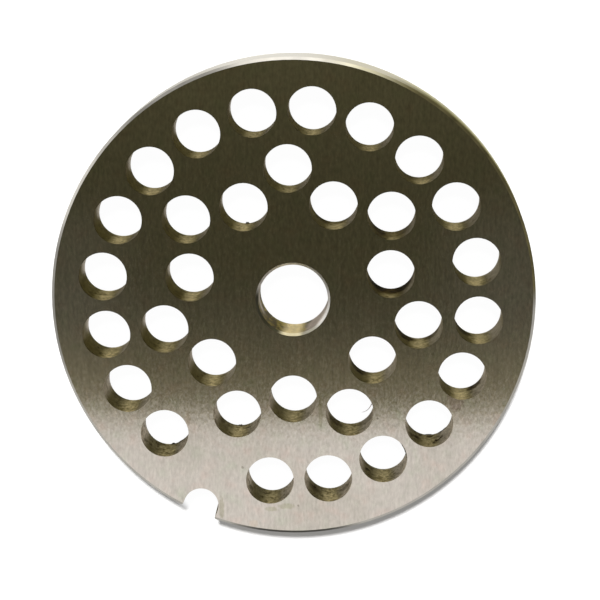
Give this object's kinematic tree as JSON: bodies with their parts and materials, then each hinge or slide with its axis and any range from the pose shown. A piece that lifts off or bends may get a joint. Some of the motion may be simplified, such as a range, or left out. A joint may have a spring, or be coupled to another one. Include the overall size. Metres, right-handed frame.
{
  "type": "meat grinder plate",
  "caption": "Flat round meat grinder plate: a thick steel disc drilled through with rings of round holes, with a centre bore and a key notch in its rim.",
  "frame": {"origin": "centre of the bore at the back face, on which the plate lies", "axes": "+Z along the bore's axis, from the back face to the knife face; the key notch faces -Y"},
  "size_m": [0.07, 0.0699, 0.0075],
  "materials": {
    "ground_steel": "surface ground, worn"
  },
  "bodies": {
    "root": {"grinder_plate": "ground_steel"}
  },
  "joints": []
}
